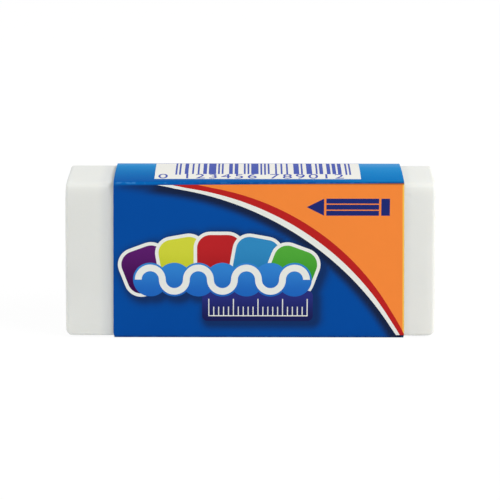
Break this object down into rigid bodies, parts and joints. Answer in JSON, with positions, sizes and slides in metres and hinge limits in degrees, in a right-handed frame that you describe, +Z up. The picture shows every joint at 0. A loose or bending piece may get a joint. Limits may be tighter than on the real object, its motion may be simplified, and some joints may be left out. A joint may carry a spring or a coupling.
{
  "type": "plastic eraser in a card sleeve",
  "caption": "White vinyl block eraser with rounded edges, held by a snug printed card sleeve that slides along it.",
  "frame": {"origin": "on the surface under the middle of the whole eraser as it stands on its long narrow side", "axes": "+X along the block to the right of the printed face, -Y out of the printed face, +Z up"},
  "size_m": [0.06, 0.0132, 0.0262],
  "materials": {
    "vinyl": "soft white vinyl, satin, slightly translucent",
    "card": "blue printed card with a gloss varnish, plain white inside",
    "ink_white": "bare white card under gloss varnish",
    "ink_orange": "orange print under gloss varnish",
    "ink_red": "red print under gloss varnish",
    "ink_navy": "dark blue print under gloss varnish",
    "ink_sky": "light blue print under gloss varnish",
    "ink_green": "green print under gloss varnish",
    "ink_yellow": "yellow-green print under gloss varnish",
    "ink_purple": "purple print under gloss varnish"
  },
  "bodies": {
    "sleeve": {"card_sleeve": "card", "white_print": "ink_white", "orange_print": "ink_orange", "red_print": "ink_red", "navy_print": "ink_navy", "sky_print": "ink_sky", "green_print": "ink_green", "yellow_print": "ink_yellow", "purple_print": "ink_purple"},
    "block": {"eraser_block": "vinyl"}
  },
  "joints": [
    {"name": "block_slide", "type": "slide", "parent": "sleeve", "child": "block", "axis": [1, 0, 0], "range_m": [-0.0422, 0.0448]}
  ]
}
